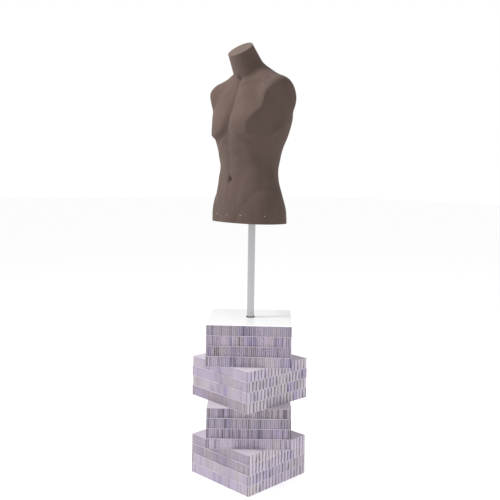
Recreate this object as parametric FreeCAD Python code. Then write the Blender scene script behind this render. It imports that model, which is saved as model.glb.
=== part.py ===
import FreeCAD, Part  # this order: Part first crashes

import math
import os

# Male display torso without head or arms, turning on a telescopic pole. The pole stands in a stack of four
# honeycomb-board blocks, each turned on the pole against the one below it.
# Millimetres. +Z is up and the torso faces -Y. The origin is on the pole's axis, on the floor.

V = FreeCAD.Vector

# ---------------------------------------------------------------- driving sizes
# Honeycomb blocks. Each is a pile of boards, and a board is a core between two paper liners.
BLOCK_SIDE = 320.0
CORE_HEIGHT = 37.5
LINER = 1.0
BOARDS_PER_BLOCK = 4
BLOCK_TURNS = (5.5, 49.9, 3.5, 48.1)  # degrees about the pole, bottom block first
CELL = 32.0  # hexagonal cell of the core, wall to wall
CELL_WALL = 1.2
HUB_RADIUS = 34.0  # cells this near the pole stay filled
HOLE_SIDES = 8  # the hole for a sleeve is an octagon
TOP_PLATE = 3.0  # gloss sheet that closes the top block
TOP_HOLE_GAP = 0.5  # round the pole

# Base plate let into the lowest board, with its pads and bolt.
PLATE_SIDE = 260.0
PLATE_THICK = 8.0
PLATE_GAP = 0.5  # all round, in the board's pocket
PAD_RADIUS = 10.0
PAD_INSET = 22.0  # pad centre from the plate's edge
BOLT_RADIUS = 6.0
BOLT_HEAD_RADIUS = 12.0
BOLT_HEAD = 5.0
BOLT_REACH = 24.0  # length of the bolt in the pole's plug

# Pole, and the tube that rises in it.
POLE_RADIUS = 14.0
POLE_WALL = 1.5
PLUG_LENGTH = 40.0  # steel plug in the pole's foot
RISE_RADIUS = 11.0
RISE_WALL = 1.5
RISE_LENGTH = 520.0
RUN_GAP = 0.06  # radial, where one round part turns or slides in another
SLEEVE_WALL = 3.0  # paper tube through each block
SLEEVE_SEAT = 0.25  # between a block's hole and its sleeve
GROMMET_WALL = 3.0
GROMMET_HEIGHT = 3.0
BUSH_LENGTH = 40.0  # guide bush in the pole's mouth
BUSH_FLANGE = 2.0
GLIDE_LENGTH = 20.0  # glide on the rising tube's foot
STOP_RING = 3.0
STOP_RING_RADIUS = 13.5

# Clamp on the pole's mouth.
COLLAR_WALL = 7.0
COLLAR_HEIGHT = 16.0
SCREW_RADIUS = 3.0
SCREW_HOLE_GAP = 0.3  # where the screw passes the pole and the bush
PAD_THICK = 2.0  # brass pad on the screw's tip
PAD_TIP_RADIUS = 2.6
TIP_GAP = 0.1  # pad to tube, screw slack
KNOB_RADIUS = 8.0
KNOB_LENGTH = 12.0
KNOB_STANDOFF = 1.0
KNOB_GRIP = 8.0  # depth of the screw in the knob
KNOB_FLUTES = 16
FLUTE_RADIUS = 0.9

# Torso fitting: board, flange and socket.
TORSO_RIM = 1010.0  # height of the torso's cut rim with the tube down
COLLAR_ABOVE_RIM = 14.0  # top of the pole above that rim
FLANGE_ABOVE_RIM = 20.0
FLANGE_RADIUS = 45.0
FLANGE_THICK = 4.0
FLANGE_BOLT_CIRCLE = 34.0
FLANGE_SCREWS = 4
WOOD_SCREW_RADIUS = 2.0
WOOD_SCREW_LENGTH = 13.0
WOOD_SCREW_HEAD = 4.0
BOARD_THICK = 12.0
BOARD_GAP = 0.6  # board to the inside of the shell
SOCKET_WALL = 2.0
SOCKET_BUSH_WALL = 2.5
SOCKET_BUSH_LENGTH = 25.0
SOCKET_DEPTH = 157.0  # flange face to the thrust pad
THRUST_PAD = 4.0
SOCKET_CAP = 4.0
TUBE_PLUG_HEAD = 3.0
TUBE_PLUG_SPIGOT = 15.0
PIN_RADIUS = 1.0
PIN_LENGTH = 16.0
PIN_HEAD_RADIUS = 1.8
PIN_HEAD = 1.0
PINS = 10

# Torso shell.
FIGURE = 1.0  # size of the figure: scales its whole outline
SHELL_WALL = 4.0
SHELL_CENTRE_Y = -18.0  # the figure stands this far forward of the pole
NECK_CAP = 5.0
NECK_PLUG_GAP = 0.5  # plug to the inside of the shell; the plug fills the shell's last stretch
SECTION_POINTS = 48
BODY_SECTIONS = 31
NECK_SECTIONS = 7
HALVINGS = 24  # steps in the search for the surface

# ---------------------------------------------------------------- sizes that follow
BOARD = CORE_HEIGHT + 2 * LINER
BLOCK_HEIGHT = BOARDS_PER_BLOCK * BOARD
BLOCKS = len(BLOCK_TURNS)
STACK_TOP = BLOCKS * BLOCK_HEIGHT
PLATE_TOP = LINER + PLATE_THICK
POLE_BORE = POLE_RADIUS - POLE_WALL
POLE_TOP = TORSO_RIM + COLLAR_ABOVE_RIM
SLEEVE_BORE = POLE_RADIUS + RUN_GAP
SLEEVE_RADIUS = SLEEVE_BORE + SLEEVE_WALL
HOLE_FLAT = SLEEVE_RADIUS + SLEEVE_SEAT  # pole axis to each flat of the hole
FLANGE_Z = TORSO_RIM + FLANGE_ABOVE_RIM
BOARD_Z = FLANGE_Z + FLANGE_THICK
SOCKET_BORE = RISE_RADIUS + RUN_GAP + SOCKET_BUSH_WALL
SOCKET_RADIUS = SOCKET_BORE + SOCKET_WALL
TUBE_TOP = FLANGE_Z + SOCKET_DEPTH
SCREW_Z = POLE_TOP - COLLAR_HEIGHT / 2

# Stations up the trunk, before the figure's scale: height above the rim, half width, depth in front of and
# behind the centre, centre's y, and roundness of the section (2 is an ellipse, more is squarer).
TRUNK = (
    (0, 172, 104, 109, -19, 2.3),  # cut rim, at the hips
    (50, 167, 104, 110, -20, 2.3),
    (105, 151, 99, 104, -21, 2.2),
    (160, 129, 94, 97, -19, 2.15),
    (200, 123, 94, 97, -18, 2.15),  # waist
    (240, 129, 98, 102, -17, 2.15),
    (277, 140, 104, 105, -17, 2.15),  # lowest ribs
    (335, 168, 108, 115, -17, 2.2),
    (390, 190, 100, 119, -17, 2.25),  # chest
    (430, 192, 86, 116, -16, 2.2),
    (470, 180, 76, 104, -14, 2.1),  # armpits
    (510, 150, 66, 84, -10, 2.0),
    (545, 104, 52, 54, -8, 2.0),
    (580, 58, 40, 36, -16, 2.0),  # root of the neck
    (640, 22, 18, 10, -62, 2.0),
)
DELTOID = ((166, -20, 466), (58, 64, 66), 0.2)  # centre, radii, lean outwards in radians
SHOULDER_LINE = ((0, 2, 577), (160, -12, 500), 35, 34)  # from, to, radius at each end
NECK_ROOT = (-12, 548)  # y and height
NECK_END = (-67.5, 641.7)
NECK_RADII = (56, 39)
NECK_OVAL = 0.75  # depth of the neck's section against its width
NECK_PAST = 0.4  # the neck's rod runs on past its cut end by this share of its length
NECK_TILT = math.radians(38.8)
SHOULDER_HEIGHT = 535.0  # above this the sections tilt into the neck
TILT_FROM = 490.0
ARM_CUT_POINT = (186, -72, 480)
ARM_CUT_TURN = math.radians(18)
ARM_CUT_LEAN = math.radians(6)
ARM_CUT_FADE = (410.0, 0.3)  # below this height the cut runs out at this slope
# Flat that runs from the front of the shoulder down beside the chest, and bends away below its foot.
BEVEL_POINT = (191, -57.5, 493)
BEVEL_TURN = math.radians(35)
BEVEL_LEAN = math.radians(16.9)
BEVEL_FOOT = (362.0, 0.5)  # height, and the slope below it
# Outline of one chest muscle seen from the front, as x and height.
CHEST = ((6, 505), (6, 352), (18, 330), (45, 314), (74, 306), (104, 314), (126, 334),
         (140, 366), (153, 398), (172, 440), (191, 480), (196, 520), (120, 520), (60, 510))
CHEST_RISE = 18.0  # how far it stands out at its lower edge
CHEST_THIN = 3.0  # and at its upper edge
CHEST_EDGE = (-6.0, 20.0)  # it rises over this distance inside its outline
CHEST_FADE = (480.0, 335.0)  # it thins out between these heights
CHEST_FRONT = 40.0  # it fades in over this depth before the centre
SOFT = {"deltoid": 30, "line": 30, "neck": 9, "cut": 22, "bevel": 5, "bend": 20}  # blend radii
REACH = 330.0  # no part of a section is further than this from its centre


# ---------------------------------------------------------------- figure
def smooth_min(a, b, k):
    h = min(1.0, max(0.0, 0.5 + 0.5 * (b - a) / k))
    return b + (a - b) * h - k * h * (1 - h)


def smooth_max(a, b, k):
    return -smooth_min(-a, -b, k)


def station(h):
    """Trunk sizes at a height, by a cubic through the stations."""
    rows = TRUNK
    i = max(0, min(len(rows) - 2, sum(1 for r in rows if r[0] <= h) - 1))
    span = rows[i + 1][0] - rows[i][0]
    t = min(1.0, max(0.0, (h - rows[i][0]) / span))

    def slope(j, c):
        lo, hi = max(0, j - 1), min(len(rows) - 1, j + 1)
        return (rows[hi][c] - rows[lo][c]) / (rows[hi][0] - rows[lo][0])

    t2, t3 = t * t, t * t * t
    return [
        (2 * t3 - 3 * t2 + 1) * rows[i][c] + (t3 - 2 * t2 + t) * span * slope(i, c)
        + (3 * t2 - 2 * t3) * rows[i + 1][c] + (t3 - t2) * span * slope(i + 1, c)
        for c in range(1, 6)
    ]


def trunk_gap(x, y, sizes):
    half, front, back, centre, power = sizes
    depth = front if y < centre else back
    norm = (abs(x / half) ** power + abs((y - centre) / depth) ** power) ** (1 / power)
    return (norm - 1) * min(half, depth)


def ellipsoid_gap(x, y, h, centre, radii, lean):
    x, y, h = x - centre[0], y - centre[1], h - centre[2]
    x, h = math.cos(lean) * x + math.sin(lean) * h, math.cos(lean) * h - math.sin(lean) * x
    near = math.sqrt(sum((p / r) ** 2 for p, r in zip((x, y, h), radii)))
    steep = math.sqrt(sum((p / r ** 2) ** 2 for p, r in zip((x, y, h), radii)))
    return near * (near - 1) / (steep + 1e-9)


def rod_gap(x, y, h, start, end, r0, r1):
    d = [b - a for a, b in zip(start, end)]
    p = [x - start[0], y - start[1], h - start[2]]
    t = min(1.0, max(0.0, sum(a * b for a, b in zip(p, d)) / sum(a * a for a in d)))
    return math.sqrt(sum((a - t * b) ** 2 for a, b in zip(p, d))) - (r0 + (r1 - r0) * t)


def facing(turn, lean):
    """Direction square to a flat that is turned from +X towards the front and leans down."""
    return math.cos(turn) * math.cos(lean), -math.sin(turn) * math.cos(lean), -math.sin(lean)


def figure_gap(x, y, h, sizes):
    """Rough distance from the figure's surface, negative inside. The figure is the same on both sides."""
    x = abs(x)
    gap = trunk_gap(x, y, sizes)
    gap = smooth_min(gap, ellipsoid_gap(x, y, h, *DELTOID), SOFT["deltoid"])
    gap = smooth_min(gap, rod_gap(x, y, h, *SHOULDER_LINE), SOFT["line"])
    past = [e + NECK_PAST * (e - r) for r, e in zip(NECK_ROOT, NECK_END)]
    neck = rod_gap(x * NECK_OVAL, y, h, (0, *NECK_ROOT), (0, *past), *NECK_RADII)
    gap = smooth_min(gap, neck, SOFT["neck"])
    normal = facing(ARM_CUT_TURN, ARM_CUT_LEAN)
    cut = sum(n * (p - q) for n, p, q in zip(normal, (x, y, h), ARM_CUT_POINT))
    cut -= ARM_CUT_FADE[1] * max(0.0, ARM_CUT_FADE[0] - h)
    return smooth_max(gap, cut, SOFT["cut"])


def smooth_step(start, end, value):
    t = min(1.0, max(0.0, (value - start) / (end - start)))
    return t * t * (3 - 2 * t)


def inside_distance(x, h, corners):
    """Signed distance to a closed outline, positive inside it."""
    near, inside = REACH, False
    for (x0, h0), (x1, h1) in zip(corners, corners[1:] + corners[:1]):
        dx, dh = x1 - x0, h1 - h0
        t = min(1.0, max(0.0, ((x - x0) * dx + (h - h0) * dh) / (dx * dx + dh * dh)))
        near = min(near, math.hypot(x - x0 - t * dx, h - h0 - t * dh))
        if (h0 > h) != (h1 > h) and x < x0 + dx * (h - h0) / dh:
            inside = not inside
    return near if inside else -near


def chest_rise(x, y, h):
    """How far the chest muscles stand out of the plain figure."""
    edge = smooth_step(*CHEST_EDGE, inside_distance(abs(x), h, CHEST))
    front = smooth_step(SHELL_CENTRE_Y, SHELL_CENTRE_Y - CHEST_FRONT, y)
    return edge * front * (CHEST_THIN + (CHEST_RISE - CHEST_THIN) * smooth_step(*CHEST_FADE, h))


def bevel_radius(y, h, ray):
    """Distance along a ray from a section's centre to the flat beside the chest."""
    ray = (abs(ray[0]), ray[1], ray[2])
    flat = facing(BEVEL_TURN, BEVEL_LEAN)
    foot, slope = BEVEL_FOOT
    steep = sum(f * r for f, r in zip(flat, ray))
    offset = sum(f * (p - c) for f, p, c in zip(flat, BEVEL_POINT, (0, y, h)))
    reaches = []
    for rate, distance in ((steep, offset), (steep + slope * ray[2], offset + slope * (foot - h))):
        reach = distance / rate if rate > 1 / REACH else REACH
        reaches.append(min(REACH, max(0.0, reach)))
    return smooth_max(*reaches, SOFT["bend"])


def section_planes():
    """Centre y, height and tilt of each section, in the unscaled figure."""
    heights = [SHOULDER_HEIGHT * i / (BODY_SECTIONS - 1) for i in range(BODY_SECTIONS)]
    heights += [SHOULDER_HEIGHT + (NECK_END[1] - SHOULDER_HEIGHT) * (i + 1) / NECK_SECTIONS
                for i in range(NECK_SECTIONS)]
    planes = []
    for h in heights:
        s = max(0.0, (h - TILT_FROM) / (NECK_END[1] - TILT_FROM))
        up = max(0.0, (h - SHOULDER_HEIGHT) / (NECK_END[1] - SHOULDER_HEIGHT))
        y = SHELL_CENTRE_Y + (NECK_END[0] - SHELL_CENTRE_Y) * up
        planes.append((y, h, NECK_TILT * s * s * (3 - 2 * s)))
    return planes


def plane_point(plane, angle, radius):
    """The point at an angle and radius in a section's plane, at the figure's size and place."""
    y, h, tilt = plane
    px = radius * math.cos(angle)
    py = y * FIGURE - radius * math.sin(angle) * math.cos(tilt)
    pz = h * FIGURE - radius * math.sin(angle) * math.sin(tilt)
    return V(px, py, pz + TORSO_RIM)


def surface_radius(plane, angle):
    """Distance from a section's centre to the figure's surface, by halving."""
    y, h, tilt = plane
    ray = (math.cos(angle), -math.sin(angle) * math.cos(tilt), -math.sin(angle) * math.sin(tilt))
    lo, hi = 0.0, REACH
    for _ in range(HALVINGS):
        mid = (lo + hi) / 2
        at = (mid * ray[0], y + mid * ray[1], h + mid * ray[2])
        inside = figure_gap(*at, station(at[2])) < 0
        lo, hi = (mid, hi) if inside else (lo, mid)
    return smooth_min(lo + chest_rise(*at), bevel_radius(y, h, ray), SOFT["bevel"]) * FIGURE


def outline(plane, start, sweep, inset):
    """Points on the figure's surface round a section, drawn in by inset."""
    count = round(SECTION_POINTS * sweep / (2 * math.pi))
    angles = [start + sweep * i / count for i in range(count + 1)]
    return [plane_point(plane, a, surface_radius(plane, a) - inset) for a in angles]


def whole_section(plane, inset):
    """The closed curve of a whole section."""
    curve = Part.BSplineCurve()
    curve.interpolate(Points=outline(plane, 0.0, 2 * math.pi, inset)[:-1], PeriodicFlag=True)
    return Part.Wire(curve.toShape())


def half_section(plane, start):
    """The closed outline of the shell's wall over half a section: outside, seam, inside, seam."""
    sides = [outline(plane, start, math.pi, inset) for inset in (0.0, SHELL_WALL)]
    edges = []
    for points in sides:
        curve = Part.BSplineCurve()
        curve.interpolate(Points=points)
        edges.append(curve.toShape())
    outside, inside = edges
    seams = [Part.makeLine(sides[0][i], sides[1][i]) for i in (-1, 0)]
    return Part.Wire([outside, seams[0], inside, seams[1]])


def half_shell(start):
    """One half of the shell, from the rim to the neck."""
    return Part.makeLoft([half_section(plane, start) for plane in section_planes()], True, True)


def neck_axis():
    """Direction square to the neck's cut end."""
    return V(0, -math.sin(NECK_TILT), math.cos(NECK_TILT))


def moved(shape, vector):
    copy = shape.copy()
    copy.translate(vector)
    return copy


# ---------------------------------------------------------------- plain shapes
def rod(radius, z0, z1):
    return Part.makeCylinder(radius, z1 - z0, V(0, 0, z0))


def ring(outer, inner, z0, z1):
    return rod(outer, z0, z1).cut(rod(inner, z0 - 1, z1 + 1))


def cross_rod(radius, y0, y1):
    """A rod along +Y through the clamp screw's axis."""
    return Part.makeCylinder(radius, y1 - y0, V(0, y0, SCREW_Z), V(0, 1, 0))


def slab(side, z0, z1):
    return Part.makeBox(side, side, z1 - z0, V(-side / 2, -side / 2, z0))


def sleeve_hole(z0, z1):
    """An upright prism with its flats this far from the pole's axis, to cut a sleeve's hole with."""
    radius = HOLE_FLAT / math.cos(math.pi / HOLE_SIDES)
    angles = [2 * math.pi * (i + 0.5) / HOLE_SIDES for i in range(HOLE_SIDES)]
    points = [V(radius * math.cos(a), radius * math.sin(a), z0) for a in angles]
    return Part.Face(Part.makePolygon(points + points[:1])).extrude(V(0, 0, z1 - z0))


# ---------------------------------------------------------------- honeycomb blocks
def core_solid():
    """One core at z = 0: hexagonal cells open through it, cut off square at the sides."""
    column = CELL * math.sqrt(3) / 2
    reach = int(BLOCK_SIDE / column) + 2
    keep_clear = max(HUB_RADIUS, HOLE_FLAT + CELL_WALL)
    cells = []
    cell = Part.Face(Part.makePolygon(hexagon(CELL - CELL_WALL)))
    for i in range(-reach, reach + 1):
        for j in range(-reach, reach + 1):
            centre = V(i * column, (j + 0.5 * (i % 2)) * CELL, 0)
            if math.hypot(centre.x, centre.y) < keep_clear:
                continue
            if max(abs(centre.x), abs(centre.y)) < BLOCK_SIDE / 2 + CELL:
                cells.append(moved(cell, centre))
    square = Part.makePlane(BLOCK_SIDE, BLOCK_SIDE, V(-BLOCK_SIDE / 2, -BLOCK_SIDE / 2, 0))
    web = square.cut(Part.makeCompound(cells))
    web = max(web.Faces, key=lambda f: f.Area)
    return web.extrude(V(0, 0, CORE_HEIGHT)).cut(sleeve_hole(-1, CORE_HEIGHT + 1))


def hexagon(across):
    radius = across / math.sqrt(3)
    angles = [math.pi * i / 3 for i in range(6)]
    points = [V(radius * math.cos(a), radius * math.sin(a), 0) for a in angles]
    return points + points[:1]


def turned(shape, degrees):
    copy = shape.copy()
    copy.rotate(V(0, 0, 0), V(0, 0, 1), degrees)
    return copy


def plate_pocket():
    return slab(PLATE_SIDE + 2 * PLATE_GAP, -1, PLATE_TOP)


def block(number, core):
    """The nodes of one block, counted from 1 at the floor."""
    z0 = (number - 1) * BLOCK_HEIGHT
    turn = BLOCK_TURNS[number - 1]
    name = f"block_{number}"
    nodes, liners = {}, []
    for k in range(BOARDS_PER_BLOCK):
        base = z0 + k * BOARD
        body = moved(core, V(0, 0, base + LINER))
        low = slab(BLOCK_SIDE, base, base + LINER).cut(sleeve_hole(base - 1, base + BOARD))
        if base == 0:
            body = body.cut(plate_pocket())
            low = low.cut(plate_pocket())
        nodes[f"{name}_core_{k + 1}"] = turned(body, turn)
        high = slab(BLOCK_SIDE, base + BOARD - LINER, base + BOARD)
        liners += [low, high.cut(sleeve_hole(base, base + BOARD + 1))]
    nodes[f"{name}_liners"] = turned(Part.makeCompound(liners), turn)
    foot = PLATE_TOP if z0 == 0 else z0
    nodes[f"{name}_sleeve"] = ring(SLEEVE_RADIUS, SLEEVE_BORE, foot, z0 + BLOCK_HEIGHT)
    return nodes


# ---------------------------------------------------------------- stand
def stand():
    nodes = {}
    turn = BLOCK_TURNS[0]
    plate = slab(PLATE_SIDE, LINER, PLATE_TOP)
    bolt = Part.makeCone(BOLT_HEAD_RADIUS, BOLT_RADIUS, BOLT_HEAD, V(0, 0, LINER))
    bolt = bolt.fuse(rod(BOLT_RADIUS, LINER + BOLT_HEAD, PLATE_TOP + BOLT_REACH)).removeSplitter()
    nodes["base_plate"] = turned(plate.cut(bolt), turn)
    nodes["foot_bolt"] = bolt
    at = PLATE_SIDE / 2 - PAD_INSET
    corners = [(-at, -at), (at, -at), (at, at), (-at, at)]
    pads = [Part.makeCylinder(PAD_RADIUS, LINER, V(x, y, 0)) for x, y in corners]
    nodes["foot_pads"] = turned(Part.makeCompound(pads), turn)
    nodes["pole_foot_plug"] = rod(POLE_BORE, PLATE_TOP, PLATE_TOP + PLUG_LENGTH).cut(bolt)

    screw_way = cross_rod(SCREW_RADIUS + SCREW_HOLE_GAP, 0, 2 * POLE_RADIUS)
    nodes["pole_tube"] = ring(POLE_RADIUS, POLE_BORE, PLATE_TOP, POLE_TOP).cut(screw_way)
    plate_top = STACK_TOP + TOP_PLATE
    grommet_radius = POLE_RADIUS + GROMMET_WALL
    nodes["pole_grommet"] = ring(grommet_radius, POLE_RADIUS, plate_top, plate_top + GROMMET_HEIGHT)
    bush = ring(POLE_BORE, RISE_RADIUS + RUN_GAP, POLE_TOP - BUSH_LENGTH, POLE_TOP)
    lip = ring(POLE_RADIUS, RISE_RADIUS + RUN_GAP, POLE_TOP, POLE_TOP + BUSH_FLANGE)
    nodes["guide_bush"] = bush.fuse(lip).removeSplitter().cut(screw_way)

    collar = ring(POLE_RADIUS + COLLAR_WALL, POLE_RADIUS, POLE_TOP - COLLAR_HEIGHT, POLE_TOP)
    nodes["clamp_collar"] = collar.cut(cross_rod(SCREW_RADIUS + RUN_GAP, 0, 3 * POLE_RADIUS))
    return nodes


def top_plate():
    plate = slab(BLOCK_SIDE, STACK_TOP, STACK_TOP + TOP_PLATE)
    hole = rod(POLE_RADIUS + TOP_HOLE_GAP, STACK_TOP - 1, STACK_TOP + TOP_PLATE + 1)
    return {"top_plate": turned(plate.cut(hole), BLOCK_TURNS[-1])}


def clamp():
    """Screw, pad and knob, at rest with the screw tight."""
    pad_y = RISE_RADIUS + TIP_GAP
    screw_y = pad_y + PAD_THICK
    knob_y = POLE_RADIUS + COLLAR_WALL + KNOB_STANDOFF
    knob = cross_rod(KNOB_RADIUS, knob_y, knob_y + KNOB_LENGTH)
    knob = knob.cut(cross_rod(SCREW_RADIUS + RUN_GAP, knob_y - 1, knob_y + KNOB_GRIP))
    flute = cross_rod(FLUTE_RADIUS, knob_y - 1, knob_y + KNOB_LENGTH + 1)
    flutes = []
    for i in range(KNOB_FLUTES):
        one = moved(flute, V(KNOB_RADIUS, 0, 0))
        one.rotate(V(0, 0, SCREW_Z), V(0, 1, 0), 360.0 * i / KNOB_FLUTES)
        flutes.append(one)
    return {
        "clamp_pad": cross_rod(PAD_TIP_RADIUS, pad_y, screw_y),
        "clamp_screw": cross_rod(SCREW_RADIUS, screw_y, knob_y + KNOB_GRIP),
        "clamp_knob": knob.cut(Part.makeCompound(flutes)),
    }


def rising_tube():
    top = TUBE_TOP - TUBE_PLUG_HEAD
    foot = top - RISE_LENGTH
    ring_z = POLE_TOP + BUSH_FLANGE
    bore = RISE_RADIUS - RISE_WALL
    plug = rod(RISE_RADIUS, top, TUBE_TOP).fuse(rod(bore, top - TUBE_PLUG_SPIGOT, top))
    return {
        "rise_tube": ring(RISE_RADIUS, bore, foot, top),
        "rise_top_plug": plug.removeSplitter(),
        "rise_stop_ring": ring(STOP_RING_RADIUS, RISE_RADIUS, ring_z, ring_z + STOP_RING),
        "rise_lower_bush": ring(POLE_BORE - RUN_GAP, RISE_RADIUS, foot, foot + GLIDE_LENGTH),
    }


# ---------------------------------------------------------------- torso
def wood_screws():
    """Countersunk screws up through the flange into the board."""
    foot = V(FLANGE_BOLT_CIRCLE, 0, FLANGE_Z)
    neck = foot + V(0, 0, WOOD_SCREW_RADIUS)
    head = Part.makeCone(WOOD_SCREW_HEAD, WOOD_SCREW_RADIUS, WOOD_SCREW_RADIUS, foot)
    shank = Part.makeCylinder(WOOD_SCREW_RADIUS, WOOD_SCREW_LENGTH - WOOD_SCREW_RADIUS, neck)
    one = head.fuse(shank).removeSplitter()
    turns = [360.0 * (i + 0.5) / FLANGE_SCREWS for i in range(FLANGE_SCREWS)]
    return Part.makeCompound([turned(one, turn) for turn in turns])


def rim_pins(plane):
    """Panel pins through the shell into the board's edge, heads flush with the shell."""
    pins = []
    for i in range(PINS):
        angle = 2 * math.pi * (i + 0.5) / PINS
        radius = surface_radius(plane, angle)
        outer, inner = plane_point(plane, angle, radius), plane_point(plane, angle, radius - PIN_LENGTH)
        axis = (inner - outer).normalize()
        head = Part.makeCylinder(PIN_HEAD_RADIUS, PIN_HEAD, outer, axis)
        shank = Part.makeCylinder(PIN_RADIUS, PIN_LENGTH - PIN_HEAD, outer + axis * PIN_HEAD, axis)
        pins.append(head.fuse(shank).removeSplitter())
    return Part.makeCompound(pins)


def torso():
    board_top = BOARD_Z + BOARD_THICK
    centre = (SHELL_CENTRE_Y, (board_top - TORSO_RIM) / FIGURE, 0.0)
    edge = whole_section(centre, SHELL_WALL + BOARD_GAP)
    board = Part.Face(edge).extrude(V(0, 0, -BOARD_THICK))
    board = board.cut(rod(SOCKET_RADIUS + SLEEVE_SEAT, BOARD_Z - 1, board_top + 1))
    pins = rim_pins((SHELL_CENTRE_Y, (BOARD_Z + BOARD_THICK / 2 - TORSO_RIM) / FIGURE, 0.0))
    screws = wood_screws()

    top_planes = section_planes()[-2:]
    cap = Part.Face(whole_section(top_planes[-1], 0.0)).extrude(neck_axis() * NECK_CAP)
    plug = Part.makeLoft([whole_section(p, SHELL_WALL + NECK_PLUG_GAP) for p in top_planes], True, True)

    flange = ring(FLANGE_RADIUS, SOCKET_RADIUS, FLANGE_Z, BOARD_Z).cut(screws)
    bush_bore = RISE_RADIUS + RUN_GAP
    high = TUBE_TOP - SOCKET_BUSH_LENGTH
    cap_z = TUBE_TOP + THRUST_PAD
    return {
        "shell_front": half_shell(0.0).cut(pins),
        "shell_back": half_shell(math.pi).cut(pins),
        "neck_cap": cap,
        "neck_plug": plug,
        "hip_board": board.cut(Part.makeCompound([pins, screws])),
        "rim_pins": pins,
        "flange_screws": screws,
        "socket_flange": flange,
        "socket_tube": ring(SOCKET_RADIUS, SOCKET_BORE, FLANGE_Z, cap_z),
        "socket_cap": rod(SOCKET_RADIUS, cap_z, cap_z + SOCKET_CAP),
        "thrust_pad": rod(SOCKET_BORE, TUBE_TOP, cap_z),
        "socket_bush_lower": ring(SOCKET_BORE, bush_bore, FLANGE_Z, FLANGE_Z + SOCKET_BUSH_LENGTH),
        "socket_bush_upper": ring(SOCKET_BORE, bush_bore, high, TUBE_TOP),
    }


def main():
    os.makedirs("parts", exist_ok=True)
    core = core_solid()
    nodes = {}
    for number in range(1, BLOCKS + 1):
        nodes.update(block(number, core))
    nodes.update(stand())
    nodes.update(top_plate())
    nodes.update(clamp())
    nodes.update(rising_tube())
    nodes.update(torso())
    for name, shape in nodes.items():
        shape.exportStep(f"parts/{name}.step")
        solids = shape.Solids
        valid = all(s.isValid() and s.isClosed() for s in solids)
        print(f"{name}: {len(solids)} solid(s), {shape.Volume / 1000:.1f} cm3, valid {valid}")


main()
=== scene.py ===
import logging
import math
from dataclasses import dataclass
from enum import Enum
from typing import Any, Mapping, Optional, Sequence, Union

import bpy
import numpy as np
from mathutils import Matrix, Vector


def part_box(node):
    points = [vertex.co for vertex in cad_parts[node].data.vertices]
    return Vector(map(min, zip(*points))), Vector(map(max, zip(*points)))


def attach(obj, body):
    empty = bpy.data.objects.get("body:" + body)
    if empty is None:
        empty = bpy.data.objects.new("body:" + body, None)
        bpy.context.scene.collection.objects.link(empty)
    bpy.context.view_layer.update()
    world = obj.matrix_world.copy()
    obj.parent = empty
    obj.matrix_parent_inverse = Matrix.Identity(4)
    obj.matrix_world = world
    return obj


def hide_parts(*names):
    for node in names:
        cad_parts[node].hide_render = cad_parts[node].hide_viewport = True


# The looks of a male display torso that turns on a telescopic pole, over a stack of honeycomb-board blocks.
# Metres. +Z is up, the torso faces -Y, and the origin is on the pole's axis, on the floor.

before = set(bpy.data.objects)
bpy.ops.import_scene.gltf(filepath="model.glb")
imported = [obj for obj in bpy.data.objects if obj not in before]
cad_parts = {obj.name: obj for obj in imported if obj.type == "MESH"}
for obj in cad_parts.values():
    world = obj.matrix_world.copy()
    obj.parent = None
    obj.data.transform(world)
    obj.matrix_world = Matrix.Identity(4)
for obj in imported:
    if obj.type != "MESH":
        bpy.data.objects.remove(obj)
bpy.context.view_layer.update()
LOG = logging.getLogger("display_form")

Array = np.ndarray
Colour = tuple[float, float, float]
Point2 = tuple[float, float]
Point3 = tuple[float, float, float]


def paint(red: int, green: int, blue: int) -> Colour:
    """A colour given in display steps from 0 to 255, as the linear values that a shader takes."""
    def linear(step: int) -> float:
        """One channel."""
        share = step / 255
        return share / 12.92 if share <= 0.04045 else ((share + 0.055) / 1.055) ** 2.4
    return linear(red), linear(green), linear(blue)


# ------------------------------------------------------------------------------------------------ node trees
class Wire:
    """An output socket of a node tree that can stand in arithmetic."""

    def __init__(self, bench: "Bench", socket: bpy.types.NodeSocket) -> None:
        """Keeps the tree and the socket."""
        self.bench = bench
        self.socket = socket

    def math(self, operation: str, *values: "Value") -> "Wire":
        """One Math node on this wire.

        Args:
            operation: The Math node's operation.
            values: What follows this wire in the node's inputs.

        Returns:
            The node's result.
        """
        inputs = dict(enumerate((self, *values)))
        return self.bench.add("ShaderNodeMath", {"operation": operation}, inputs)

    def __add__(self, other: "Value") -> "Wire":
        """Sum."""
        return self.math("ADD", other)

    __radd__ = __add__

    def __mul__(self, other: "Value") -> "Wire":
        """Product."""
        return self.math("MULTIPLY", other)

    __rmul__ = __mul__

    def __sub__(self, other: "Value") -> "Wire":
        """Difference."""
        return self.math("SUBTRACT", other)

    def __rsub__(self, other: float) -> "Wire":
        """Difference from a number."""
        return self.math("MULTIPLY_ADD", -1.0, other)

    def __truediv__(self, other: "Value") -> "Wire":
        """Quotient."""
        return self.math("DIVIDE", other)

    def __rtruediv__(self, other: float) -> "Wire":
        """A number divided by this wire."""
        return self.math("POWER", -1.0) * other

    def __gt__(self, other: "Value") -> "Wire":
        """1 where this is the greater, else 0."""
        return self.math("GREATER_THAN", other)

    def __lt__(self, other: "Value") -> "Wire":
        """1 where this is the smaller, else 0."""
        return self.math("LESS_THAN", other)

    def __mod__(self, other: float) -> "Wire":
        """Remainder."""
        return self.math("MODULO", other)

    def held(self, low: "Value", high: "Value") -> "Wire":
        """This wire kept between two values."""
        return self.math("MAXIMUM", low).math("MINIMUM", high)

    def over(self, low: float, high: float) -> "Wire":
        """0 below low, 1 above high and eased between."""
        settings = {"interpolation_type": "SMOOTHSTEP"}
        inputs = {"Value": self, "From Min": low, "From Max": high}
        return self.bench.add("ShaderNodeMapRange", settings, inputs)


Value = Union[Wire, float]


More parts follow.
